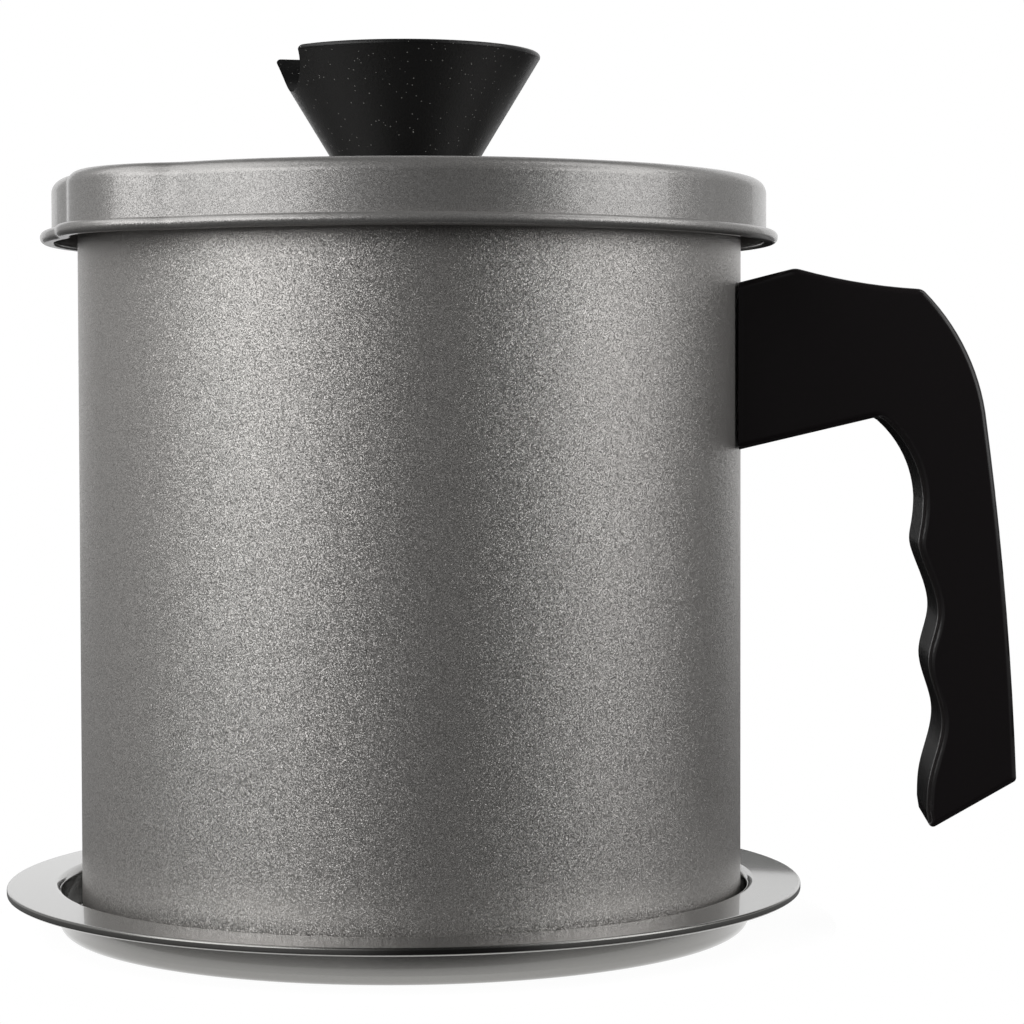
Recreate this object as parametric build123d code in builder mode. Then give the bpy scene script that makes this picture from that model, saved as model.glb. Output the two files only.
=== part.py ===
"""Bacon grease container: a lidded pot with a strainer, standing in a round drip tray.

Millimetres. The origin is on the pot's axis at table level, +Z is up and +X points at the handle.
"""

import os
from math import acos, atan2, cos, degrees, radians, sin

from build123d import *

os.makedirs("parts", exist_ok=True)

# ---------------------------------------------------------------- driving dimensions

# Solids stand on the point they are placed at, or hang down from it
STANDING = (Align.CENTER, Align.CENTER, Align.MIN)
HANGING = (Align.CENTER, Align.CENTER, Align.MAX)

# Pot: one drawn steel can
pot_radius = 59.0  # outside of the wall
pot_sheet = 0.6
pot_height = 130.3  # its own floor to the top of its rolled rim
pot_corner = 4.0  # outside radius where the floor turns up
rim_roll = 3.0  # diameter of the rolled rim

# Pouring lip, pressed out of the rim, and the lid's cover over it
lip_turn = 43.6  # degrees from -X towards -Y
lip_centre = 43.3  # pot axis to the centre of the lip's round nose
lip_reach = 3.9  # nose beyond the wall
lip_fall = 6.5  # height over which the nose fades into the wall
lip_blend = 13.0  # hollow radius where the nose leaves the round rim
lip_crease = 4.0  # rounding of the crease below it

# Drip tray
tray_sheet = 0.6
tray_slack = 2.2  # pot wall to the inside of the well, all round
tray_shift = 1.3  # how far the pot stands off the tray's centre, inside that slack
tray_height = 8.2  # table to the well's lip, before its bend
well_corner = 1.8
well_lip = 1.4  # bend radius from the well to the flange, on top
flange_width = 9.8  # inside of the well to the hem's outer edge
flange_fall = 0.2  # the flange slopes down to its hem by this much
hem_roll = 1.4

# Lid
lid_sheet = 0.5
lid_slack = 1.6  # rolled rim to the inside of the skirt
lid_depth = 11.1  # top face to the underside of the curl
lid_shoulder = 2.3
curl_height = 2.1
curl_reach = 2.05  # curl beyond the skirt
seat_gap = 0.3  # left between parts that are only laid on each other

# Strainer
strainer_sheet = 0.6
strainer_slack = 0.5  # its collar inside the pot's wall
strainer_flange = 2.9  # flange beyond the collar's outside
collar_depth = 7.0
mesh_wire = 0.6  # two crossing wires
mesh_depth = 44.0
mesh_taper = 7.0  # how much narrower the cup is at its floor
mesh_corner = 9.0
weld_gap = 0.05  # left between sheets that are spot welded or crimped
band_height = 4.5
band_sheet = 0.5

# Knob and its fastening
knob_height = 23.0
knob_top_radius = 24.6
knob_base_radius = 10.6
knob_shift = 0.8  # its screw, tightened by hand, leaves it this far towards -X
knob_edge = 0.6
scoop_turn = 17.1  # thumb scoop, degrees from -X towards -Y
scoop_radius = 13.2
scoop_depth = 7.0
scoop_inner = 12.0  # knob axis to the scoop's blind end
scoop_end = 4.0
knob_thread = 2.0  # thread radius of the knob's screw
insert_radius = 3.4
insert_length = 11.0
knob_screw_grip = 9.0  # screw inside the insert
washer_radius = 6.5
washer_sheet = 0.9
knob_head_radius = 4.0
knob_head_height = 2.4
thread_gap = 0.08
hole_gap = 0.3

# Handle: side outline, given from the pot's wall outwards and from the hump downwards
handle_drop = 14.15  # rim top to the top of the handle's hump
handle_thick = 24.0
handle_seat = 0.6  # handle end to the pot's wall
neck_top_fall = 2.35  # hump down to the neck's top edge at the wall
hump_out = 9.3
hump_round = 3.0
elbow_out, elbow_fall = 31.3, 3.75
neck_sag = 0.62  # hollow of the top line between hump and elbow
back_out, back_fall = 42.3, 25.3  # where the shoulder runs into the back
shoulder_bow = 1.95
foot_out, foot_fall = 47.85, 89.5
back_bow = 0.78
tip_out, tip_fall = 32.8, 98.2
crotch_out, crotch_fall = 24.0, 25.9  # inside corner below the neck
neck_low_fall = 31.55  # hump down to the neck's lower edge at the wall
crotch_round = 2.5
crotch_bow = 1.8
valley_out = (31.5, 34.1, 34.8)  # three finger hollows, from the top down
valley_fall = (40.4, 60.2, 78.4)
ridge_out = (30.8, 32.5, 32.6)  # a ridge below each hollow
ridge_fall = (48.6, 68.5, 89.8)
heel_out, heel_fall = 32.3, 95.0
elbow_round = 2.0
edge_round = 1.2  # rounding all along both flanks
foot_round = 0.8

# Bracket inside the handle's neck, its weld nut and the screw from below
bracket_sheet = 1.5
bracket_width = 14.0
bracket_pad_height = 15.0
bracket_reach = 24.0  # tongue beyond the pot's wall
bracket_fall = 19.5  # hump down to the tongue's top
bracket_bend = 1.0
bracket_gap = 0.4
nut_side = 7.0
nut_height = 3.2
handle_thread = 2.0
screw_out = 16.5
screw_head_radius = 3.7
screw_head_height = 2.6
screw_head_depth = 3.0  # counterbore floor above the neck's lower edge
screw_tail = 1.2  # screw beyond the nut

# ---------------------------------------------------------------- places worked out from them

pot_floor = tray_sheet
rim_top = pot_floor + pot_height
pot_bore = pot_radius - pot_sheet
rim_reach = rim_roll - pot_sheet
nose_radius = pot_radius + lip_reach - lip_centre

flange_bottom = rim_top + seat_gap
flange_top = flange_bottom + strainer_sheet
lid_under = flange_top + seat_gap
lid_top = lid_under + lid_sheet
skirt_offset = rim_reach + lid_slack + lid_sheet
curl_bottom = lid_top - lid_depth

hump_z = rim_top - handle_drop


def turned(distance, turn):
    """A point at a distance from the pot's axis, turned from -X towards -Y."""
    return (-distance * cos(radians(turn)), -distance * sin(radians(turn)))


def side_point(out, fall):
    """A point of the handle's side outline: out from the pot's wall, down from the hump."""
    return (pot_radius + out, hump_z - fall)


def rim_sketch(height, offset_out):
    """The pot's round outline with the nose of its pouring lip, offset outwards."""
    wall = pot_radius + offset_out
    nose = nose_radius + offset_out
    hollow = lip_blend - offset_out
    far, near = pot_radius + lip_blend, nose_radius + lip_blend
    spread = acos((far**2 + lip_centre**2 - near**2) / (2 * far * lip_centre))
    hollow_x, hollow_y = far * cos(spread), far * sin(spread)
    swing = degrees(atan2(hollow_y, hollow_x - lip_centre))
    spread = degrees(spread)
    with BuildSketch(Plane((0, 0, height), x_dir=(*turned(1, lip_turn), 0))) as outline:
        with BuildLine():
            CenterArc((0, 0), wall, spread, 360 - 2 * spread)
            CenterArc((hollow_x, -hollow_y), hollow, 180 - spread, spread - swing)
            CenterArc((lip_centre, 0), nose, -swing, 2 * swing)
            CenterArc((hollow_x, hollow_y), hollow, 180 + swing, spread - swing)
        make_face()
    return outline.sketch


def rolled_edge(bottom, height, inner, outer):
    """A bead that follows the rim's outline, rounded all along outside and eased inside."""
    with BuildPart() as bead:
        add(rim_sketch(bottom, outer))
        extrude(amount=height)
        fillet(bead.edges().filter_by(Plane.XY), height / 2 - 0.05)
        add(rim_sketch(bottom - 1, inner))
        extrude(amount=height + 2, mode=Mode.SUBTRACT)
    return bead.part


# ---------------------------------------------------------------- drip tray

well_radius = pot_radius + tray_slack
flange_radius = well_radius + flange_width
hem_top = tray_height - flange_fall

with BuildPart() as tray:
    with BuildSketch(Plane.XZ) as tray_section:
        with BuildLine() as tray_line:
            FilletPolyline(
                (0, tray_sheet),
                (well_radius, tray_sheet),
                (well_radius, tray_height),
                (flange_radius - hem_roll / 2, hem_top),
                radius=[well_corner - tray_sheet, well_lip],
            )
            offset(amount=tray_sheet, side=Side.RIGHT)
        make_face()
        with Locations((flange_radius - hem_roll / 2, hem_top - hem_roll / 2)):
            Circle(hem_roll / 2)
    revolve(axis=Axis.Z)
tray.part = Pos(-tray_shift, 0, 0) * tray.part
tray.part.label = "tray"
export_step(tray.part, "parts/tray.step")

# ---------------------------------------------------------------- pot

nose_top = rim_top - rim_roll / 2
nose_low_radius = nose_radius - lip_reach - 1

rim_bead = rolled_edge(rim_top - rim_roll, rim_roll, -pot_sheet, rim_reach)

with BuildPart() as pot_body:
    with BuildSketch(Plane.XY.offset(pot_floor)):
        Circle(pot_radius)
    extrude(amount=nose_top - pot_floor)
    fillet(pot_body.faces().sort_by(Axis.Z)[0].edges(), pot_corner)
    with Locations((*turned(lip_centre, lip_turn), nose_top)):
        Cone(nose_low_radius, nose_radius, lip_fall, align=HANGING)
    crease = pot_body.edges().filter_by(GeomType.BSPLINE)
    fillet(crease, lip_crease)
    offset(amount=-pot_sheet, openings=pot_body.faces().sort_by(Axis.Z)[-1], kind=Kind.ARC)
    add(rim_bead)
pot_body.part.label = "pot_body"
export_step(pot_body.part, "parts/pot_body.step")

# ---------------------------------------------------------------- lid

lid_curl = rolled_edge(curl_bottom, curl_height, skirt_offset - lid_sheet, skirt_offset + curl_reach)

with BuildPart() as lid_shell:
    add(rim_sketch(curl_bottom + curl_height / 2, skirt_offset))
    extrude(amount=lid_top - curl_bottom - curl_height / 2)
    fillet(lid_shell.faces().sort_by(Axis.Z)[-1].edges(), lid_shoulder)
    offset(amount=-lid_sheet, openings=lid_shell.faces().sort_by(Axis.Z)[0], kind=Kind.ARC)
    add(lid_curl)
    with Locations((-knob_shift, 0, lid_top)):
        Hole(knob_thread + hole_gap)
lid_shell.part.label = "lid_shell"
export_step(lid_shell.part, "parts/lid_shell.step")

# ---------------------------------------------------------------- knob

knob_top = lid_top + knob_height
knob_side = Plane.XZ.move(Location((-knob_shift, 0, 0)))
knob_axis = Axis((-knob_shift, 0, 0), (0, 0, 1))
scoop_x, scoop_y = turned(scoop_inner, scoop_turn)
scoop_plane = Plane(
    origin=(scoop_x - knob_shift, scoop_y, knob_top - scoop_depth + scoop_radius),
    x_dir=(*turned(1, scoop_turn + 90), 0),
    z_dir=(*turned(1, scoop_turn), 0),
)


def knob_level(height):
    """A level plane, centred on the knob's axis."""
    return Plane((-knob_shift, 0, height))


with BuildPart() as scoop:
    with BuildSketch(scoop_plane):
        Circle(scoop_radius)
    extrude(amount=knob_top_radius)
    fillet(scoop.faces().sort_by_distance(scoop_plane.origin)[0].edges(), scoop_end)

with BuildPart() as knob:
    with BuildSketch(knob_side):
        with BuildLine():
            Polyline(
                (0, lid_top),
                (knob_base_radius, lid_top),
                (knob_top_radius, knob_top),
                (0, knob_top),
                close=True,
            )
        make_face()
    revolve(axis=knob_axis)
    add(scoop.part, mode=Mode.SUBTRACT)
    fillet(knob.faces().sort_by(Axis.Z)[-1].edges(), knob_edge)
    fillet(knob.faces().sort_by(Axis.Z)[0].edges(), knob_edge)
    with BuildSketch(knob_level(lid_top)):
        Circle(insert_radius)
    extrude(amount=insert_length, mode=Mode.SUBTRACT)
knob.part.label = "knob"
export_step(knob.part, "parts/knob.step")

with BuildPart() as knob_insert:
    with BuildSketch(knob_level(lid_top)):
        Circle(insert_radius)
        Circle(knob_thread + thread_gap, mode=Mode.SUBTRACT)
    extrude(amount=insert_length)
knob_insert.part.label = "knob_insert"
export_step(knob_insert.part, "parts/knob_insert.step")

with BuildPart() as knob_washer:
    with BuildSketch(knob_level(lid_under - washer_sheet)):
        Circle(washer_radius)
        Circle(knob_thread + hole_gap, mode=Mode.SUBTRACT)
    extrude(amount=washer_sheet)
knob_washer.part.label = "knob_washer"
export_step(knob_washer.part, "parts/knob_washer.step")


def pan_screw(name, origin, thread, length, head_radius, head_height):
    """A pan head screw that stands head down on its seat and points up."""
    with BuildPart(Plane(origin)) as screw:
        Cylinder(thread, length, align=STANDING)
        Cylinder(head_radius, head_height, align=HANGING)
        fillet(screw.faces().sort_by(Axis.Z)[0].edges(), head_height / 2)
        chamfer(screw.faces().sort_by(Axis.Z)[-1].edges(), thread / 4)
    screw.part.label = name
    export_step(screw.part, f"parts/{name}.step")
    return screw


knob_seat = lid_under - washer_sheet
knob_screw = pan_screw(
    "knob_screw",
    (-knob_shift, 0, knob_seat),
    knob_thread,
    lid_top + knob_screw_grip - knob_seat,
    knob_head_radius,
    knob_head_height,
)

# ---------------------------------------------------------------- strainer

collar_outer = pot_bore - strainer_slack
collar_inner = collar_outer - strainer_sheet
mesh_outer = collar_inner - weld_gap
mesh_top = flange_bottom - 1
mesh_floor = flange_bottom - mesh_depth
band_outer = mesh_outer - mesh_wire - weld_gap

with BuildPart() as strainer_rim:
    with BuildSketch(Plane.XZ):
        with BuildLine():
            FilletPolyline(
                (collar_inner, flange_bottom - collar_depth),
                (collar_inner, flange_top),
                (collar_outer + strainer_flange, flange_top),
                radius=strainer_sheet * 2,
            )
            offset(amount=strainer_sheet, side=Side.RIGHT)
        make_face()
    revolve(axis=Axis.Z)
strainer_rim.part.label = "strainer_rim"
export_step(strainer_rim.part, "parts/strainer_rim.step")

with BuildPart() as strainer_mesh:
    with BuildSketch(Plane.XZ):
        with BuildLine():
            FilletPolyline(
                (0, mesh_floor),
                (mesh_outer - mesh_taper, mesh_floor),
                (mesh_outer, flange_bottom - collar_depth),
                (mesh_outer, mesh_top),
                radius=[mesh_corner, mesh_corner],
            )
            offset(amount=mesh_wire, side=Side.LEFT)
        make_face()
    revolve(axis=Axis.Z)
strainer_mesh.part.label = "strainer_mesh"
export_step(strainer_mesh.part, "parts/strainer_mesh.step")

with BuildPart() as strainer_band:
    with BuildSketch(Plane.XY.offset(mesh_top - band_height)):
        Circle(band_outer)
        Circle(band_outer - band_sheet, mode=Mode.SUBTRACT)
    extrude(amount=band_height)
strainer_band.part.label = "strainer_band"
export_step(strainer_band.part, "parts/strainer_band.step")

# ---------------------------------------------------------------- handle bracket and its nut

tongue_top = hump_z - bracket_fall
tongue_bottom = tongue_top - bracket_sheet
pad_radius = pot_radius + weld_gap
screw_x = pot_radius + screw_out

with BuildPart() as handle_bracket:
    with BuildSketch(Plane.XY.offset(tongue_bottom)):
        Circle(pad_radius + bracket_sheet)
        Circle(pad_radius, mode=Mode.SUBTRACT)
        with Locations((pot_radius, 0)):
            Rectangle(pot_radius, bracket_width, mode=Mode.INTERSECT)
    extrude(amount=bracket_pad_height)
    with BuildSketch(Plane.XY.offset(tongue_bottom)):
        with Locations((pot_radius, 0)):
            Rectangle(bracket_reach, bracket_width, align=(Align.MIN, Align.CENTER))
        Circle(pad_radius + bracket_sheet / 2, mode=Mode.SUBTRACT)
    extrude(amount=bracket_sheet)
    bend_inside = handle_bracket.faces().filter_by(GeomType.CYLINDER).sort_by(SortBy.RADIUS)[-1].edges()
    fillet(bend_inside.filter_by(GeomType.CIRCLE).sort_by(Axis.Z)[0], bracket_bend)
    bend_outside = handle_bracket.faces().sort_by(Axis.Z)[0].edges().filter_by(GeomType.CIRCLE)
    fillet(bend_outside, bracket_sheet)
    with Locations((screw_x, 0, tongue_top)):
        Hole(handle_thread + hole_gap, depth=bracket_sheet)
handle_bracket.part.label = "handle_bracket"
export_step(handle_bracket.part, "parts/handle_bracket.step")

with BuildPart() as bracket_nut:
    with BuildSketch(Plane.XY.offset(tongue_top)):
        with Locations((screw_x, 0)):
            Rectangle(nut_side, nut_side)
            Circle(handle_thread + thread_gap, mode=Mode.SUBTRACT)
    extrude(amount=nut_height)
bracket_nut.part.label = "bracket_nut"
export_step(bracket_nut.part, "parts/bracket_nut.step")

# ---------------------------------------------------------------- handle

neck_slope = (neck_low_fall - crotch_fall) / crotch_out
neck_low_at_screw = hump_z - neck_low_fall + neck_slope * screw_out
screw_seat = neck_low_at_screw + screw_head_depth
screw_tip = tongue_top + nut_height + screw_tail
buried = -6.0  # the outline starts inside the pot and is trimmed to its wall

hump = side_point(hump_out, 0)
neck_top = side_point(buried, neck_top_fall * (hump_out - buried) / hump_out)
neck_low = side_point(buried, neck_low_fall - neck_slope * buried)
elbow = side_point(elbow_out, elbow_fall)
back = side_point(back_out, back_fall)
foot = side_point(foot_out, foot_fall)
tip = side_point(tip_out, tip_fall)
heel = side_point(heel_out, heel_fall)
crotch = side_point(crotch_out, crotch_fall)
grip = []
for hollow, ridge in zip(zip(valley_out, valley_fall), zip(ridge_out, ridge_fall)):
    grip += [side_point(*hollow), side_point(*ridge)]
corner_rounds = [
    (hump, hump_round),
    (elbow, elbow_round),
    (foot, foot_round),
    (tip, foot_round),
    (crotch, crotch_round),
]

with BuildPart() as handle:
    with BuildSketch(Plane.XZ):
        with BuildLine():
            Line(neck_low, neck_top)
            Line(neck_top, hump)
            SagittaArc(hump, elbow, -neck_sag)
            SagittaArc(elbow, back, shoulder_bow)
            SagittaArc(back, foot, back_bow)
            Line(foot, tip)
            Line(tip, heel)
            Spline(heel, *reversed(grip), tangents=[(0, 1), (0, 1)])
            SagittaArc(grip[0], crotch, -crotch_bow)
            Line(crotch, neck_low)
        make_face()
    extrude(amount=handle_thick / 2, both=True)
    for place, amount in corner_rounds:
        corners = handle.edges().filter_by(Axis.Y)
        fillet(corners.sort_by_distance((place[0], 0, place[1]))[0], amount)
    flanks = handle.faces().filter_by(Axis.Y)
    neck_end = handle.faces().filter_by(Axis.X)
    fillet(flanks.edges() - neck_end.edges(), edge_round)
    # seated on the pot's round wall, with a pocket for the bracket and a way in for the screw
    with Locations((0, 0, pot_floor)):
        Cylinder(pot_radius + handle_seat, rim_top, align=STANDING, mode=Mode.SUBTRACT)
    with Locations((pot_radius - 1, 0, tongue_bottom)):
        Box(
            bracket_reach + bracket_gap + 1,
            bracket_width + 2 * bracket_gap,
            screw_tip + bracket_gap - tongue_bottom,
            align=(Align.MIN, Align.CENTER, Align.MIN),
            mode=Mode.SUBTRACT,
        )
    with Locations((pot_radius - 1, 0, tongue_bottom)):
        Box(
            bracket_sheet + bracket_gap + 1,
            bracket_width + 2 * bracket_gap,
            bracket_pad_height + bracket_gap,
            align=(Align.MIN, Align.CENTER, Align.MIN),
            mode=Mode.SUBTRACT,
        )
    with Locations((screw_x, 0, screw_seat)):
        Cylinder(handle_thread + hole_gap, screw_head_depth * 3, align=STANDING, mode=Mode.SUBTRACT)
        Cylinder(screw_head_radius + hole_gap, screw_head_depth * 3, align=HANGING, mode=Mode.SUBTRACT)
handle.part.label = "handle"
export_step(handle.part, "parts/handle.step")

handle_screw = pan_screw(
    "handle_screw",
    (screw_x, 0, screw_seat),
    handle_thread,
    tongue_top + nut_height + screw_tail - screw_seat,
    screw_head_radius,
    screw_head_height,
)
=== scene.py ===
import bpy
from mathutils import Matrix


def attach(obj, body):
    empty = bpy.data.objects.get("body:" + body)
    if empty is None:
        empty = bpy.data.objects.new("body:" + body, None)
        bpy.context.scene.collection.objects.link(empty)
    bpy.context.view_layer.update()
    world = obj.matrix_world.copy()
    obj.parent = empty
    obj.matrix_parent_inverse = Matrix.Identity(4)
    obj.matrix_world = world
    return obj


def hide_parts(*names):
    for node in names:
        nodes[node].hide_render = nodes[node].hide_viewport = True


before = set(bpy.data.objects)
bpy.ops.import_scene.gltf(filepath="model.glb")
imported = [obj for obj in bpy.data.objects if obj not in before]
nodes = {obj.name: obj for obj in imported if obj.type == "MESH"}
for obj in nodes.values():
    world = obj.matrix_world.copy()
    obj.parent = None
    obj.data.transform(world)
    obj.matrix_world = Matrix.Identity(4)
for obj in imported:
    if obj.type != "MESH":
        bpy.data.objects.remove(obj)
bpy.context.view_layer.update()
print("pieces in the frame:", ", ".join(sorted(nodes)))

# %% [markdown]
# ## Modules and units
#
# Blender works in metres here. Sheet metal is easier to think of in millimetres,
# so sizes are written in them and multiplied by MM where Blender needs them.
# %% Modules and units
from math import acos, atan2, cos, pi, radians, sin, sqrt, tan

import bmesh
import bpy
from mathutils import Matrix, Vector

scene = bpy.context.scene
MM = 0.001
print("one millimetre is", MM, "m, in Blender", bpy.app.version_string)

# %% [markdown]
# ## Colours and shader nodes
#
# Colours are written as sRGB hex, the way a paint or moulding sample would be
# noted down. Blender's sockets want linear light, so one function converts
# them. A second small function adds a shader node, sets it and wires it in one
# line, which keeps every material below readable. The last two do what nearly
# every finish needs: blend two colours, and raise a pattern as a relief.


# %% Colour and node helpers
def linear(hex_colour):
    """sRGB hex to linear RGBA."""
    values = [int(hex_colour[i : i + 2], 16) / 255 for i in (1, 3, 5)]
    return [v / 12.92 if v <= 0.04045 else ((v + 0.055) / 1.055) ** 2.4 for v in values] + [1.0]


def add_node(tree, kind, settings=None, links=None, **sockets):
    """A node of a kind, with its settings, its socket values and what feeds it."""
    node = tree.nodes.new("ShaderNode" + kind)
    for name, value in (settings or {}).items():
        setattr(node, name, value)
    for name, value in sockets.items():
        node.inputs[name.replace("_", " ")].default_value = value
    for name, source in (links or {}).items():
        tree.links.new(source, node.inputs[name])
    return node


def new_material(name, colour, metallic, roughness, **sockets):
    """A material on the standard shader. Returns it with its tree and shader."""
    material = bpy.data.materials.new(name)
    material.use_nodes = True
    tree = material.node_tree
    shader = tree.nodes["Principled BSDF"]
    shader.inputs["Base Color"].default_value = linear(colour)
    shader.inputs["Metallic"].default_value = metallic
    shader.inputs["Roughness"].default_value = roughness
    for socket, value in sockets.items():
        shader.inputs[socket.replace("_", " ")].default_value = value
    return material, tree, shader


def blend(tree, share, low, high):
    """A colour from low, where the share is 0, to high, where it is 1."""
    mix = add_node(tree, "Mix", {"data_type": "RGBA"}, {0: share})
    # a mix node keeps its two colours in sockets 6 and 7, and its result in 2
    mix.inputs[6].default_value = linear(low)
    mix.inputs[7].default_value = linear(high)
    return mix.outputs[2]


def relief(tree, shader, pattern, depth):
    """Raises a pattern on the surface, to a depth in metres."""
    bump = add_node(tree, "Bump", links={"Height": pattern.outputs["Fac"]}, Strength=1.0, Distance=depth)
    tree.links.new(bump.outputs["Normal"], shader.inputs["Normal"])


print("middle grey in linear light:", round(linear("#808080")[0], 3))

# %% [markdown]
# ## Metallic flake coat
#
# The can and its lid are carbon steel sprayed with a silicone non-stick coat
# that carries aluminium flakes. Each flake is a tiny tilted mirror, so the coat
# looks like soft metal with a fine sparkle wherever the reflection changes from
# light to dark.
#
# Light and dark specks alone would sparkle in flat light too. Here a cell
# pattern tilts the surface flake by flake, which gives the real behaviour. The
# same cells also set each flake's tone from how far it tilts up: flakes that
# lean up towards the lamps above are painted lighter, a painted sparkle on top of
# their real glint, and flakes that lean down are painted darker, a painted shade.
# The lid's flakes lie flatter under a thin glossy film, and the tray's coat has
# hardly any.
#
# Real flakes are about 0.03 to 0.06 mm wide. They are drawn 0.1 mm wide, so that
# they still show in a picture of the whole object.
# %% Metallic flake coat
FLAKE = 0.1 * MM
WAVE = 1.2 * MM


def flake_coat(name, dark, light, metallic, roughness, tilt, wave_depth, **sockets):
    """A coat of dark to light flakes that lean more with more tilt, over waves wave_depth mm deep."""
    coat, tree, shader = new_material(name, light, metallic, roughness, **sockets)
    place = add_node(tree, "TexCoord").outputs["Object"]
    cells = add_node(tree, "TexVoronoi", links={"Vector": place}, Scale=1 / FLAKE)
    # each flake's upward lean sets its tone: painted sparkle on flakes facing the lamps above, painted shade
    # on those facing down
    flake = add_node(tree, "SeparateXYZ", links={0: cells.outputs["Color"]}).outputs["Z"]
    tree.links.new(blend(tree, flake, dark, light), shader.inputs["Base Color"])
    waves = add_node(tree, "TexNoise", links={"Vector": place}, Scale=1 / WAVE, Detail=2.0)
    rough_ground = add_node(
        tree, "Bump", links={"Height": waves.outputs["Fac"]}, Strength=1.0, Distance=wave_depth * MM
    )
    centred = add_node(tree, "VectorMath", {"operation": "SUBTRACT"}, {0: cells.outputs["Color"]})
    centred.inputs[1].default_value = (0.5, 0.5, 0.5)
    tilted = add_node(tree, "VectorMath", {"operation": "SCALE"}, {0: centred.outputs[0]}, Scale=tilt)
    leaning = add_node(
        tree, "VectorMath", {"operation": "ADD"}, {0: rough_ground.outputs["Normal"], 1: tilted.outputs[0]}
    )
    facing = add_node(tree, "VectorMath", {"operation": "NORMALIZE"}, {0: leaning.outputs[0]})
    tree.links.new(facing.outputs[0], shader.inputs["Normal"])
    return coat


body_coat = flake_coat(
    "flake_nonstick_coat", "#aba8a5", "#c8c5c2", metallic=0.7, roughness=0.34, tilt=0.45, wave_depth=0.001
)
lid_coat = flake_coat(
    "fine_flake_nonstick_coat",
    "#93918f",
    "#b3b1af",
    metallic=0.55,
    roughness=0.3,
    tilt=0.2,
    wave_depth=0.0005,
    Coat_Weight=0.4,
    Coat_Roughness=0.06,
)
tray_coat = flake_coat(
    "smooth_nonstick_coat",
    "#888784",
    "#908f8c",
    metallic=1.0,
    roughness=0.25,
    tilt=0.02,
    wave_depth=0.0,
    Coat_Weight=0.9,
    Coat_Roughness=0.04,
)
print("coats:", body_coat.name, lid_coat.name, tray_coat.name)

# %% [markdown]
# ## Black mouldings
#
# Handle and knob are compression-moulded phenolic, the usual black heat-proof
# plastic of cookware. The handle comes from a polished mould, so it has a deep
# satin gloss that shows as thin bright lines along its rounded edges. The knob
# comes from a spark-eroded mould, which leaves a fine pebbled skin. A few of its
# pebbles have flat tops that glint, and those glints are painted into its colour
# as light specks, a painted highlight.
#
# Real pebbles are about 0.2 mm apart. They are drawn 0.45 mm apart, so that they
# show. The painted glints come from cells 0.28 mm wide, one of them in fifty.
# %% Black mouldings
ORANGE_PEEL = 4 * MM
PEEL_DEPTH = 0.004 * MM
PEBBLE = 0.45 * MM
PEBBLE_DEPTH = 0.05 * MM
PAINTED_GLINT_CELL = 0.28 * MM
PAINTED_GLINT_SHARE = 0.02
PAINTED_GLINT_RADIUS = 0.4  # of a cell

handle_black, tree, shader = new_material(
    "polished_phenolic", "#242122", metallic=0.0, roughness=0.17, IOR=1.4
)
place = add_node(tree, "TexCoord").outputs["Object"]
peel = add_node(tree, "TexNoise", links={"Vector": place}, Scale=1 / ORANGE_PEEL, Detail=1.0)
relief(tree, shader, peel, PEEL_DEPTH)

knob_black, tree, shader = new_material(
    "pebbled_phenolic", "#101010", metallic=0.0, roughness=0.34, IOR=1.45
)
place = add_node(tree, "TexCoord").outputs["Object"]
pebbles = add_node(tree, "TexNoise", links={"Vector": place}, Scale=1 / PEBBLE, Detail=3.0, Roughness=0.65)
relief(tree, shader, pebbles, PEBBLE_DEPTH)
painted_glint_cells = add_node(tree, "TexVoronoi", links={"Vector": place}, Scale=1 / PAINTED_GLINT_CELL)
pick = add_node(tree, "SeparateXYZ", links={0: painted_glint_cells.outputs["Color"]}).outputs["X"]
chosen = add_node(tree, "Math", {"operation": "GREATER_THAN"}, {0: pick})
chosen.inputs[1].default_value = 1 - PAINTED_GLINT_SHARE
middle = add_node(tree, "Math", {"operation": "LESS_THAN"}, {0: painted_glint_cells.outputs["Distance"]})
middle.inputs[1].default_value = PAINTED_GLINT_RADIUS
painted_glint = add_node(tree, "Math", {"operation": "MULTIPLY"}, {0: chosen.outputs[0], 1: middle.outputs[0]})
# painted highlight: the chosen pebbles get a light colour that stands in for their glint
tree.links.new(blend(tree, painted_glint.outputs[0], "#121212", "#8c8b88"), shader.inputs["Base Color"])
print("mouldings:", handle_black.name, knob_black.name)

# %% [markdown]
# ## Metals that are hidden until it is opened
#
# The strainer is stainless steel, the fixings are zinc-plated steel and the
# knob's insert is turned brass. Rolled sheet and drawn wire are never evenly
# bright, so a cloudy noise varies their gloss. Zinc has a bloom of two greys, and
# turning leaves rings about 0.2 mm apart along the brass.


# %% Bare metals
def cloudy_metal(name, colour, spacing, detail, glossiest, dullest):
    """A bare metal whose roughness drifts between two values, over clouds of a spacing in mm."""
    metal, tree, shader = new_material(name, colour, metallic=1.0, roughness=glossiest)
    place = add_node(tree, "TexCoord").outputs["Object"]
    marks = add_node(tree, "TexNoise", links={"Vector": place}, Scale=1 / (spacing * MM), Detail=detail)
    uneven = add_node(
        tree, "MapRange", links={"Value": marks.outputs["Fac"]}, To_Min=glossiest, To_Max=dullest
    )
    tree.links.new(uneven.outputs["Result"], shader.inputs["Roughness"])
    return metal


BLOOM = 2 * MM
RING_UNIT = 0.6 * MM  # a wave pattern repeats about three times in a unit
RING_DEPTH = 0.01 * MM

strainer_steel = cloudy_metal(
    "rolled_stainless", "#c9c7c2", spacing=3, detail=4.0, glossiest=0.18, dullest=0.34
)
mesh_steel = cloudy_metal(
    "drawn_stainless_wire", "#bdbbb6", spacing=1.5, detail=2.0, glossiest=0.24, dullest=0.4
)

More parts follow.
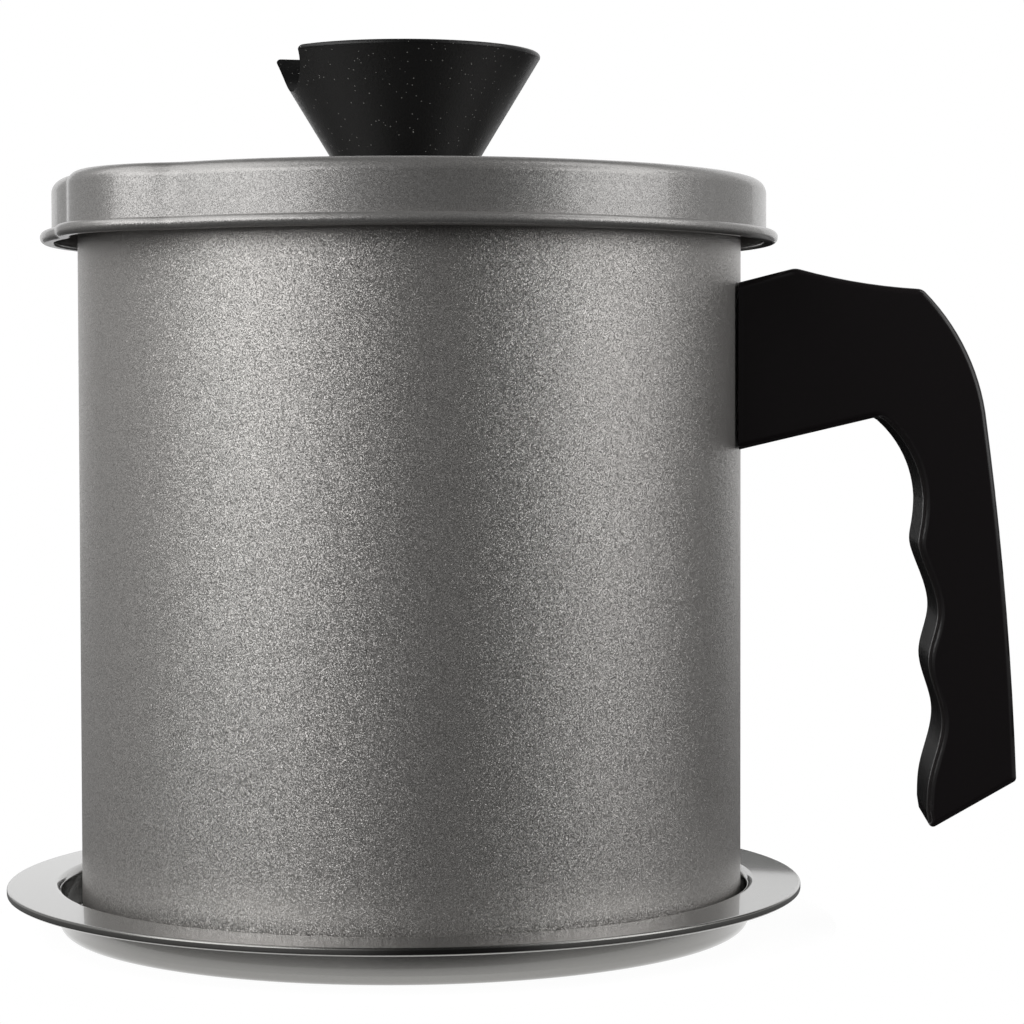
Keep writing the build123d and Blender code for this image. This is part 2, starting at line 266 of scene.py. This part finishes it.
fixing_steel, tree, shader = new_material("zinc_plated_steel", "#b9bcc0", metallic=1.0, roughness=0.28)
place = add_node(tree, "TexCoord").outputs["Object"]
bloom = add_node(tree, "TexNoise", links={"Vector": place}, Scale=1 / BLOOM, Detail=3.0)
tree.links.new(blend(tree, bloom.outputs["Fac"], "#a9adb3", "#c9cbcc"), shader.inputs["Base Color"])

insert_brass, tree, shader = new_material("turned_brass", "#c9a45c", metallic=1.0, roughness=0.26)
place = add_node(tree, "TexCoord").outputs["Object"]
along = {"bands_direction": "Z"}
rings = add_node(tree, "TexWave", along, {"Vector": place}, Scale=1 / RING_UNIT, Distortion=0.5)
relief(tree, shader, rings, RING_DEPTH)
print("metals:", strainer_steel.name, mesh_steel.name, fixing_steel.name, insert_brass.name)


# %% [markdown]
# ## Turned sheet, from a half section
#
# Tray, can, lid, and the strainer's rings are all sheet that was drawn or spun
# round one axis. In Blender that is a half section in the XZ plane that is spun
# about Z. The corners are rounded on the section first, with a vertex bevel,
# because a corner radius is far easier to see and to set there than on the
# finished shell.
#
# Big flat faces next to narrow rounded ones would shade as if they bulged, so
# each shell also gets weighted normals, which let the big faces keep theirs.


# %% Section and spin
def section(points, rounds, closed=False):
    """A chain of edges in the XZ plane from points in mm; rounds is {point number: (radius, segments)}."""
    bm = bmesh.new()
    spots = [Vector((x * MM, 0, z * MM)) for x, z in points]
    verts = [bm.verts.new(spot) for spot in spots]
    for pair in zip(verts, verts[1:] + verts[: 1 if closed else 0]):
        bm.edges.new(pair)
    for number, (radius, segments) in rounds.items():
        here = spots[number]
        corner = (spots[number - 1] - here).angle(spots[(number + 1) % len(spots)] - here)
        # an arc of this radius leaves its two lines radius / tan(corner / 2) away from the corner
        bmesh.ops.bevel(
            bm,
            geom=[min(bm.verts, key=lambda vert: (vert.co - here).length)],
            offset=radius * MM / tan(corner / 2),
            offset_type="OFFSET",
            segments=segments,
            profile=0.5,
            affect="VERTICES",
            material=-1,
        )
    return bm


def spin_round(bm, steps):
    """Spins a section round Z into a closed shell that faces outwards."""
    whole = bm.verts[:] + bm.edges[:]
    bmesh.ops.spin(bm, geom=whole, axis=(0, 0, 1), cent=(0, 0, 0), angle=2 * pi, steps=steps, use_merge=True)
    bmesh.ops.remove_doubles(bm, verts=bm.verts[:], dist=1e-6)
    bmesh.ops.recalc_face_normals(bm, faces=bm.faces[:])


def finish_piece(name, bm, material, body, stands_for=(), sharp=40):
    """Turns a bmesh into a shaded piece that rides on a body."""
    mesh = bpy.data.meshes.new(name)
    bm.to_mesh(mesh)
    bm.free()
    mesh.materials.append(material)
    mesh.shade_smooth()
    mesh.set_sharp_from_angle(angle=radians(sharp))
    piece = bpy.data.objects.new(name, mesh)
    scene.collection.objects.link(piece)
    weighted = piece.modifiers.new("weighted normals", "WEIGHTED_NORMAL")
    weighted.keep_sharp = True
    if stands_for:
        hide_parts(*stands_for)
    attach(piece, body)
    print(f"{name}: {len(mesh.polygons)} faces")
    return piece


# %% [markdown]
# ## Drip tray
#
# A shallow round well with a wide, level flange that ends in a small rolled hem,
# which is what makes the rim read as a fine double line. The bend from the
# well to the flange is soft, the way a pressed sheet leaves its die. The tray is
# centred a little to the left of the pot, which stands loose in its well.
# %% Drip tray
TRAY_SHEET = 0.6
WELL_RADIUS = 61.2
FLANGE_RADIUS = 71.0
TRAY_HEIGHT = 8.2
HEM_TOP = 8.0
HEM = 1.4
TRAY_SHIFT = 1.3
ROUND_STEPS = 256

hem_inside = FLANGE_RADIUS - HEM
tray_section = section(
    [
        (0, TRAY_SHEET),
        (WELL_RADIUS, TRAY_SHEET),
        (WELL_RADIUS, TRAY_HEIGHT),
        (FLANGE_RADIUS, HEM_TOP),
        (FLANGE_RADIUS, HEM_TOP - HEM),
        (hem_inside, HEM_TOP - HEM),
        (hem_inside, HEM_TOP - TRAY_SHEET),
        (WELL_RADIUS + TRAY_SHEET, TRAY_HEIGHT - TRAY_SHEET),
        (WELL_RADIUS + TRAY_SHEET, 0),
        (0, 0),
    ],
    {1: (1.2, 6), 2: (1.4, 8), 3: (0.4, 6), 4: (0.4, 6), 5: (0.25, 3), 7: (0.8, 6), 8: (1.8, 8)},
)
spin_round(tray_section, ROUND_STEPS)
bmesh.ops.translate(tray_section, vec=(-TRAY_SHIFT * MM, 0, 0), verts=tray_section.verts[:])
finish_piece("drip_tray", tray_section, tray_coat, "drip_tray", ["tray"])

# %% [markdown]
# ## The outline of the pouring lip
#
# The can's rim has a pouring lip pressed out of it, and the lid has a bulge of
# the same outline to cover it. Seen from above, that outline is the round can,
# a smaller round nose, and a hollow curve on each side that joins them.
#
# The can and the lid are spun round first and their vertices are then moved out
# to that outline, so the function below gives the outline's distance from the
# axis in any direction, for any offset from the can's wall. They are spun in
# steps of one degree, so that the small nose comes out round.
# %% Lip outline
WALL = 59.0
LIP_TURN = pi + radians(43.6)
LIP_CENTRE = 43.3
LIP_REACH = 3.9
NOSE = WALL + LIP_REACH - LIP_CENTRE
LIP_BLEND = 13.0
LIP_STEPS = 360


def outline_radius(angle, out):
    """Distance in mm from the axis to the outline that lies out mm outside the can's wall."""
    turn = abs((angle - LIP_TURN + pi) % (2 * pi) - pi)
    far, near, hollow = WALL + LIP_BLEND, NOSE + LIP_BLEND, LIP_BLEND - out
    spread = acos((far**2 + LIP_CENTRE**2 - near**2) / (2 * far * LIP_CENTRE))
    centre = Vector((far * cos(spread), far * sin(spread)))
    on_nose = centre + (Vector((LIP_CENTRE, 0)) - centre).normalized() * hollow
    ray = Vector((cos(turn), sin(turn)))
    if turn >= spread:
        return WALL + out
    if turn <= atan2(on_nose.y, on_nose.x):
        across = LIP_CENTRE * sin(turn)
        return LIP_CENTRE * cos(turn) + sqrt((NOSE + out) ** 2 - across**2)
    along = centre.dot(ray)
    across = centre.length_squared - along**2
    return along - sqrt(max(hollow**2 - across, 0))


def smooth_step(value, low, high):
    """0 up to low, 1 from high on, and a soft rise between them."""
    share = min(max((value - low) / (high - low), 0), 1)
    return share * share * (3 - 2 * share)


def press_lip(bm, share_at):
    """Moves each vertex out towards the lip's outline, by the share that share_at(radius, height) gives."""
    for vert in bm.verts:
        radius, height = vert.co.xy.length / MM, vert.co.z / MM
        share = share_at(radius, height)
        if share > 0:
            pressed = outline_radius(atan2(vert.co.y, vert.co.x), radius - WALL)
            vert.co.xy *= 1 + share * (pressed - radius) / radius


print("the nose reaches", round(outline_radius(LIP_TURN, 0) - WALL, 2), "mm beyond the wall")

# %% [markdown]
# ## The can
#
# One drawn steel can with a rolled rim. The roll stiffens the thin wall, carries
# the strainer's flange and gives the poured fat a smooth edge to run over. The
# lip is pressed out of the top few millimetres and fades into the wall below.
# %% Can
CAN_SHEET = 0.6
CAN_FLOOR = 0.6
RIM_TOP = 130.9
RIM_ROLL = 3.0
RIM_REACH = 2.4
LIP_ROOT = 122.0
LIP_FADE = (123.4, 128.4)  # heights between which the lip comes out

can_section = section(
    [
        (0, CAN_FLOOR),
        (WALL, CAN_FLOOR),
        (WALL, LIP_ROOT),
        (WALL, RIM_TOP - RIM_ROLL),
        (WALL + RIM_REACH, RIM_TOP - RIM_ROLL),
        (WALL + RIM_REACH, RIM_TOP),
        (WALL - CAN_SHEET, RIM_TOP),
        (WALL - CAN_SHEET, LIP_ROOT),
        (WALL - CAN_SHEET, CAN_FLOOR + CAN_SHEET),
        (0, CAN_FLOOR + CAN_SHEET),
    ],
    {1: (4.0, 8), 4: (1.4, 6), 5: (1.4, 6), 6: (1.0, 6), 8: (3.4, 8)},
)
# the wall above the lip's root is cut into short steps, so that it can bend outwards
long_edges = [edge for edge in can_section.edges if abs(edge.verts[0].co.z - edge.verts[1].co.z) > 2 * MM]
short_walls = [edge for edge in long_edges if min(vert.co.z for vert in edge.verts) > (LIP_ROOT - 1) * MM]
bmesh.ops.subdivide_edges(can_section, edges=short_walls, cuts=7)
spin_round(can_section, LIP_STEPS)
press_lip(can_section, lambda radius, height: smooth_step(height, *LIP_FADE))
finish_piece("can", can_section, body_coat, "pot", ["pot_body"])

# %% [markdown]
# ## The lid
#
# A deep cap of thin sheet: flat top, small round shoulder, straight skirt and a
# curled foot. The bulge over the pouring lip runs the full height of the skirt,
# curl included, so the whole section is pressed out there, and only the flat
# top is left where it is.
# %% Lid
LID_TOP = 132.6
LID_SHEET = 0.5
SKIRT = 63.5
CURL_BOTTOM = 121.5
CURL_HEIGHT = 2.1
CURL_REACH = 2.05
LID_SHOULDER = 2.3
FLAT_TOP = 52
BULGE_FADE = (50, 60)  # radii between which the bulge comes out

lid_section = section(
    [
        (0, LID_TOP),
        (FLAT_TOP, LID_TOP),
        (SKIRT, LID_TOP),
        (SKIRT, CURL_BOTTOM + CURL_HEIGHT),
        (SKIRT + CURL_REACH, CURL_BOTTOM + CURL_HEIGHT),
        (SKIRT + CURL_REACH, CURL_BOTTOM),
        (SKIRT - LID_SHEET, CURL_BOTTOM),
        (SKIRT - LID_SHEET, LID_TOP - LID_SHEET),
        (FLAT_TOP, LID_TOP - LID_SHEET),
        (0, LID_TOP - LID_SHEET),
    ],
    {
        2: (LID_SHOULDER, 8),
        3: (0.1, 3),
        4: (1.0, 8),
        5: (1.0, 8),
        6: (0.45, 4),
        7: (LID_SHOULDER - LID_SHEET, 6),
    },
)
# the outer ring of the top is cut into short steps, so that the bulge can fade into it
outer = [edge for edge in lid_section.edges if min(vert.co.x for vert in edge.verts) > (FLAT_TOP - 1) * MM]
long_outer = [edge for edge in outer if edge.calc_length() > 5 * MM]
top_edges = [edge for edge in long_outer if edge.verts[0].co.z > (LID_TOP - 1) * MM]
bmesh.ops.subdivide_edges(lid_section, edges=top_edges, cuts=4)
spin_round(lid_section, LIP_STEPS)
press_lip(lid_section, lambda radius, height: smooth_step(radius, *BULGE_FADE))
finish_piece("lid", lid_section, lid_coat, "lid", ["lid_shell"])

# %% [markdown]
# ## Strainer rim and band
#
# The strainer hangs in the can by a turned-out steel rim. A thin band inside the
# wire cup presses it against the rim's collar. Both are sheet again, so both are
# spun from a half section. These sections are closed loops, because neither
# piece reaches the axis.
# %% Strainer rim and band
FLANGE_BOTTOM = 131.2
COLLAR = 57.9
COLLAR_DEPTH = 7.0
FLANGE_REACH = 2.9
STRAINER_SHEET = 0.6

rim_section = section(
    [
        (COLLAR - STRAINER_SHEET, FLANGE_BOTTOM - COLLAR_DEPTH),
        (COLLAR - STRAINER_SHEET, FLANGE_BOTTOM + STRAINER_SHEET),
        (COLLAR + FLANGE_REACH, FLANGE_BOTTOM + STRAINER_SHEET),
        (COLLAR + FLANGE_REACH, FLANGE_BOTTOM),
        (COLLAR, FLANGE_BOTTOM),
        (COLLAR, FLANGE_BOTTOM - COLLAR_DEPTH),
    ],
    {0: (0.2, 2), 1: (1.2, 6), 2: (0.25, 3), 3: (0.25, 3), 4: (0.6, 4), 5: (0.2, 2)},
    closed=True,
)
spin_round(rim_section, ROUND_STEPS)
finish_piece(
    "strainer_flange", rim_section, strainer_steel, "strainer", ["strainer_rim"]
)

BAND = 56.6
BAND_SHEET = 0.5
BAND_BOTTOM = 125.7
BAND_TOP = 130.2

band_section = section(
    [
        (BAND - BAND_SHEET, BAND_BOTTOM),
        (BAND, BAND_BOTTOM),
        (BAND, BAND_TOP),
        (BAND - BAND_SHEET, BAND_TOP),
    ],
    {corner: (0.15, 2) for corner in range(4)},
    closed=True,
)
spin_round(band_section, ROUND_STEPS)
finish_piece(
    "strainer_clamp_band", band_section, strainer_steel, "strainer", ["strainer_band"]
)

# %% [markdown]
# ## Strainer cup
#
# The cup is fine woven wire, pressed from a flat disc: the weave stays square on
# the floor and is drawn narrower up the wall. It is made the same way here, from
# a flat grid that is pressed over a cup shape. The shape comes first, as the
# half section of the cup, measured along its wall from the centre outwards.
# %% Cup shape
CUP_WALL = 56.95
CUP_FLOOR = 87.5
CUP_BEND = 124.2
CUP_TOP = 129.9
CUP_TAPER = 7.0
CUP_CORNER = 9.0


def cup_path():
    """The middle of the cup's wall as (distance along it from the centre, radius, height)."""
    bm = section(
        [(0, CUP_FLOOR), (CUP_WALL - CUP_TAPER, CUP_FLOOR), (CUP_WALL, CUP_BEND), (CUP_WALL, CUP_TOP)],
        {1: (CUP_CORNER, 12), 2: (CUP_CORNER, 4)},
    )
    spots = sorted((vert.co.z / MM, vert.co.x / MM) for vert in bm.verts)
    bm.free()
    spots = [(x, z) for z, x in spots]
    path = [(0.0, *spots[0])]
    for x, z in spots[1:]:
        run, last_x, last_z = path[-1]
        path.append((run + sqrt((x - last_x) ** 2 + (z - last_z) ** 2), x, z))
    return path


path = cup_path()


def pressed_to(run):
    """Radius and height of the cup at a distance along its wall from the centre."""
    for (run_a, x_a, z_a), (run_b, x_b, z_b) in zip(path, path[1:]):
        if run <= run_b:
            share = (run - run_a) / (run_b - run_a)
            return x_a + share * (x_b - x_a), z_a + share * (z_b - z_a)
    return path[-1][1:]


longest = path[-1][0]
print("the disc that the cup is pressed from is", round(2 * longest), "mm across")

# %% [markdown]
# ## Woven wire
#
# A grid with one line for each strand is pressed over that shape, and a
# wireframe then gives every strand its thickness. Real mesh has a strand every
# 0.6 mm or so. Here it is every 1.9 mm, as coarse as it needs to be to show and
# to stay light.
# %% Pressed wire cup
STRAND = 1.9
WIRE = 0.42

count = 2 * int(longest / STRAND)
wire_cup = bmesh.new()
bmesh.ops.create_grid(wire_cup, x_segments=count, y_segments=count, size=count / 2 * STRAND * MM)
outside = [face for face in wire_cup.faces if max(vert.co.xy.length for vert in face.verts) > longest * MM]
bmesh.ops.delete(wire_cup, geom=outside, context="FACES")
for vert in wire_cup.verts:
    run = vert.co.xy.length / MM
    radius, height = pressed_to(run)
    if run > 0:
        vert.co.xy *= radius / run
    vert.co.z = height * MM
cup = finish_piece("strainer_wire_cup", wire_cup, mesh_steel, "strainer", ["strainer_mesh"])
strands = cup.modifiers.new("strands", "WIREFRAME")
strands.thickness = WIRE * MM
strands.use_even_offset = False
strands.use_boundary = True
cup.modifiers.remove(cup.modifiers["weighted normals"])
print("strands across the cup:", count + 1)

# %% [markdown]
# ## Finishes for the pieces that keep their construction shape
#
# The handle, the knob and the fixings are already the right shape in the frame,
# so they stay as they are and only get their material. The pieces that were
# turned again above get theirs too, so that the frame is dressed throughout.
# %% Dress the frame's own pieces
finishes = {
    "tray": tray_coat,
    "pot_body": body_coat,
    "lid_shell": lid_coat,
    "strainer_rim": strainer_steel,
    "strainer_band": strainer_steel,
    "strainer_mesh": mesh_steel,
    "handle": handle_black,
    "knob": knob_black,
    "handle_bracket": fixing_steel,
    "bracket_nut": fixing_steel,
    "handle_screw": fixing_steel,
    "knob_screw": fixing_steel,
    "knob_washer": fixing_steel,
    "knob_insert": insert_brass,
}
for name, material in finishes.items():
    mesh = nodes[name].data
    mesh.materials.clear()
    mesh.materials.append(material)
print("dressed:", ", ".join(finishes))

# %% [markdown]
# ## Studio
#
# Metal is only as good as what it reflects. Two softboxes stand to the left and
# right, with two more higher up for the lid and the tray, in a dim room with a
# black curtain behind the camera. The softboxes draw the two broad highlights
# down the can, and the curtain gives the dark band between them. A white sheet
# behind brightens both edges, and a black card in front of it keeps the finger
# side of the handle dark.
#
# First comes the paper of the sheet and the floor. A mix by kind of ray lets it
# look white to the camera and in reflections, but light the object no more than
# plain paper does.
# %% Paper
PLAIN_PAPER = 0.75


def blank_material(name):
    """A material with no nodes yet. Returns it with its tree."""
    material = bpy.data.materials.new(name)
    material.use_nodes = True
    material.node_tree.nodes.clear()
    return material, material.node_tree


def paper(name, glow_strength, shadow_share):
    """Paper that is white to the camera and in reflections, and keeps a share of the shadows."""
    material, tree = blank_material(name)
    rays = add_node(tree, "LightPath")
    seen = rays.outputs["Is Camera Ray"]
    for kind in ("Is Glossy Ray", "Is Transmission Ray"):
        seen = add_node(tree, "Math", {"operation": "MAXIMUM"}, {0: seen, 1: rays.outputs[kind]}).outputs[0]
    plain = add_node(tree, "BsdfDiffuse", Color=(PLAIN_PAPER, PLAIN_PAPER, PLAIN_PAPER, 1))
    faint = add_node(tree, "BsdfDiffuse", Color=(shadow_share, shadow_share, shadow_share, 1))
    glow = add_node(tree, "Emission", Color=(1, 1, 1, 1), Strength=glow_strength)
    white = add_node(tree, "AddShader", links={0: faint.outputs[0], 1: glow.outputs[0]})
    chosen = add_node(tree, "MixShader", links={0: seen, 1: plain.outputs[0], 2: white.outputs[0]})
    add_node(tree, "OutputMaterial", links={"Surface": chosen.outputs[0]})
    return material


floor_paper = paper("floor_paper", glow_strength=0.94, shadow_share=0.16)
backdrop_paper = paper("backdrop_paper", glow_strength=1.0, shadow_share=0.0)
print("papers:", floor_paper.name, backdrop_paper.name)

# %% [markdown]
# ## Black card
#
# The card is black in reflections and white to the camera alone, so that it
# darkens the handle without showing in the picture.
# %% Black card
CARD_BLACK = 0.012

card_material, tree = blank_material("black_card")
rays = add_node(tree, "LightPath")
black = add_node(tree, "BsdfDiffuse", Color=(CARD_BLACK, CARD_BLACK, CARD_BLACK, 1))
white = add_node(tree, "Emission", Color=(1, 1, 1, 1), Strength=1.0)
chosen = add_node(
    tree, "MixShader", links={0: rays.outputs["Is Camera Ray"], 1: black.outputs[0], 2: white.outputs[0]}
)
add_node(tree, "OutputMaterial", links={"Surface": chosen.outputs[0]})
print("card:", card_material.name)

# %% [markdown]
# ## Sheets and stand
#
# The sheet and the card stand across the view, well behind the object, each a
# flat grid turned upright. The floor is a round only a little wider than the
# tray, so that the can mirrors hardly any of it. From here on sizes are in
# metres.
# %% Sheets and stand
STAND_RADIUS = 0.076


def stage_piece(name, bm, material):
    """Turns a bmesh into a flat piece of the studio."""
    mesh = bpy.data.meshes.new(name)
    bm.to_mesh(mesh)
    bm.free()
    mesh.materials.append(material)
    piece = bpy.data.objects.new(name, mesh)
    scene.collection.objects.link(piece)


def upright_sheet(name, material, width, tall, middle):
    """A sheet that stands across the view, with its size and middle in metres."""
    bm = bmesh.new()
    bmesh.ops.create_grid(bm, x_segments=1, y_segments=1, size=0.5)
    bmesh.ops.scale(bm, vec=(width, tall, 1), verts=bm.verts[:])
    stood_up = Matrix.Translation(middle) @ Matrix.Rotation(radians(90), 4, "X")
    bmesh.ops.transform(bm, matrix=stood_up, verts=bm.verts[:])
    stage_piece(name, bm, material)


upright_sheet("sheet_behind", backdrop_paper, width=2.18, tall=1.28, middle=(0.02, 1.6, 0.62))
upright_sheet("black_card", card_material, width=0.45, tall=0.65, middle=(-0.025, 1.59, -0.075))
stand = bmesh.new()
bmesh.ops.create_circle(stand, cap_ends=True, segments=96, radius=STAND_RADIUS)
stage_piece("stand", stand, floor_paper)
print("floor", 2 * STAND_RADIUS, "m across")

# %% [markdown]
# ## Softboxes
#
# A studio softbox is a large flat lamp, and metal shows its shape and its edges.
# Each one is an area lamp at the same distance, aimed at the middle of the can,
# so it is placed by two angles: how far it is turned round the object and how
# high it climbs.
# %% Softboxes
LAMP_REACH = 0.9
LAMP_AIM = Vector((0, 0, 0.07))


def softbox(name, turn, climb, width, tall, brightness):
    """A lamp turned to the right of the front and raised, in degrees; brightness 1 looks white."""
    lamp = bpy.data.lights.new(name, "AREA")
    lamp.shape = "RECTANGLE"
    lamp.size = width
    lamp.size_y = tall
    # a lamp's power is how bright it looks, times pi, times its area
    lamp.energy = brightness * pi * width * tall
    holder = bpy.data.objects.new(name, lamp)
    scene.collection.objects.link(holder)
    aim = Matrix.Rotation(radians(turn), 3, "Z") @ Matrix.Rotation(radians(-climb), 3, "X")
    toward = aim @ Vector((0, -1, 0))
    holder.location = LAMP_AIM + LAMP_REACH * toward
    holder.rotation_euler = toward.to_track_quat("Z", "Y").to_euler()
    print(name, "at", [round(value, 2) for value in holder.location])


softbox("softbox_left", turn=-48.3, climb=18.5, width=0.79, tall=0.46, brightness=2.32)
softbox("softbox_right", turn=72.0, climb=18.3, width=0.62, tall=0.48, brightness=1.88)
softbox("top_light_left", turn=-73.4, climb=48.7, width=0.76, tall=0.58, brightness=1.55)
softbox("top_light_right", turn=90.3, climb=48.6, width=0.43, tall=0.59, brightness=1.6)

# %% [markdown]
# ## The room
#
# The room is a world shader that depends on the direction alone. Its walls are
# evenly bright from about 6 to 35 degrees above level, and fade to a dark floor
# and a dark ceiling. The curtain hangs behind the camera, a little to the right,
# and takes the light out of that direction. To the camera itself the room is
# plain white.
# %% Room
CURTAIN_TURN = radians(18.4)
CURTAIN_HALF = radians(11)
CURTAIN_EDGE = radians(32.9)

scene.view_settings.view_transform = "Standard"
scene.world = bpy.data.worlds.new("dim_room")
scene.world.use_nodes = True
tree = scene.world.node_tree
tree.nodes.clear()
toward = add_node(tree, "TexCoord").outputs["Generated"]
flat = add_node(tree, "VectorMath", {"operation": "MULTIPLY"}, {0: toward})
flat.inputs[1].default_value = (1, 1, 0)
bearing = add_node(tree, "VectorMath", {"operation": "NORMALIZE"}, {0: flat.outputs[0]})
facing = add_node(tree, "VectorMath", {"operation": "DOT_PRODUCT"}, {0: bearing.outputs[0]})
facing.inputs[1].default_value = (sin(CURTAIN_TURN), -cos(CURTAIN_TURN), 0)
height = add_node(tree, "SeparateXYZ", links={0: toward}).outputs["Z"]


def fade(value, start, end, before, after):
    """A soft change from one strength to another between two values."""
    ends = {"From_Min": start, "From_Max": end, "To_Min": before, "To_Max": after}
    soft = {"interpolation_type": "SMOOTHSTEP"}
    return add_node(tree, "MapRange", soft, {"Value": value}, **ends).outputs["Result"]


def times(first, second):
    """The product of two strengths."""
    return add_node(tree, "Math", {"operation": "MULTIPLY"}, {0: first, 1: second}).outputs[0]


walls = fade(height, start=-0.3, end=0.1, before=0.05, after=0.41)
ceiling = fade(height, start=0.58, end=0.98, before=1.0, after=0.0)
curtain = fade(
    facing.outputs["Value"], start=cos(CURTAIN_EDGE), end=cos(CURTAIN_HALF), before=1.0, after=0.05
)
rays = add_node(tree, "LightPath")
strength = times(times(walls, ceiling), curtain)
room = add_node(tree, "Background", Color=(1, 1, 1, 1), links={"Strength": strength})
open_white = add_node(tree, "Background", Color=(1, 1, 1, 1), Strength=1.0)
chosen = add_node(
    tree, "MixShader", links={0: rays.outputs["Is Camera Ray"], 1: room.outputs[0], 2: open_white.outputs[0]}
)
add_node(tree, "OutputWorld", links={"Surface": chosen.outputs[0]})
print("room:", scene.world.name, "with", len(tree.nodes), "nodes")

# %% [markdown]
# ## Camera
#
# A long lens a little over half a metre away, a little above two thirds of the
# can's height and tipped down by two degrees. That is low enough to hide the top
# of the lid and high enough to open the tray's flange into an ellipse.
# %% Camera
CAMERA_PLACE = (0.04793, -0.53307, 0.09365)
FOCAL_LENGTH = 104.7
TURN, PITCH, ROLL = radians(3.2), radians(2.13), radians(-0.14)
ahead = Vector((-sin(TURN) * cos(PITCH), cos(TURN) * cos(PITCH), -sin(PITCH)))
level = Vector((cos(TURN), sin(TURN), 0))
right = cos(ROLL) * level + sin(ROLL) * level.cross(ahead)
view = Matrix((right, right.cross(ahead), -ahead)).transposed().to_4x4()
lens = bpy.data.cameras.new("studio_camera")
lens.sensor_width = 36
lens.lens = FOCAL_LENGTH
lens.clip_start = 0.01
camera = bpy.data.objects.new("studio_camera", lens)
scene.collection.objects.link(camera)
camera.matrix_world = Matrix.Translation(CAMERA_PLACE) @ view
scene.camera = camera
print("camera", [round(value, 3) for value in camera.location])
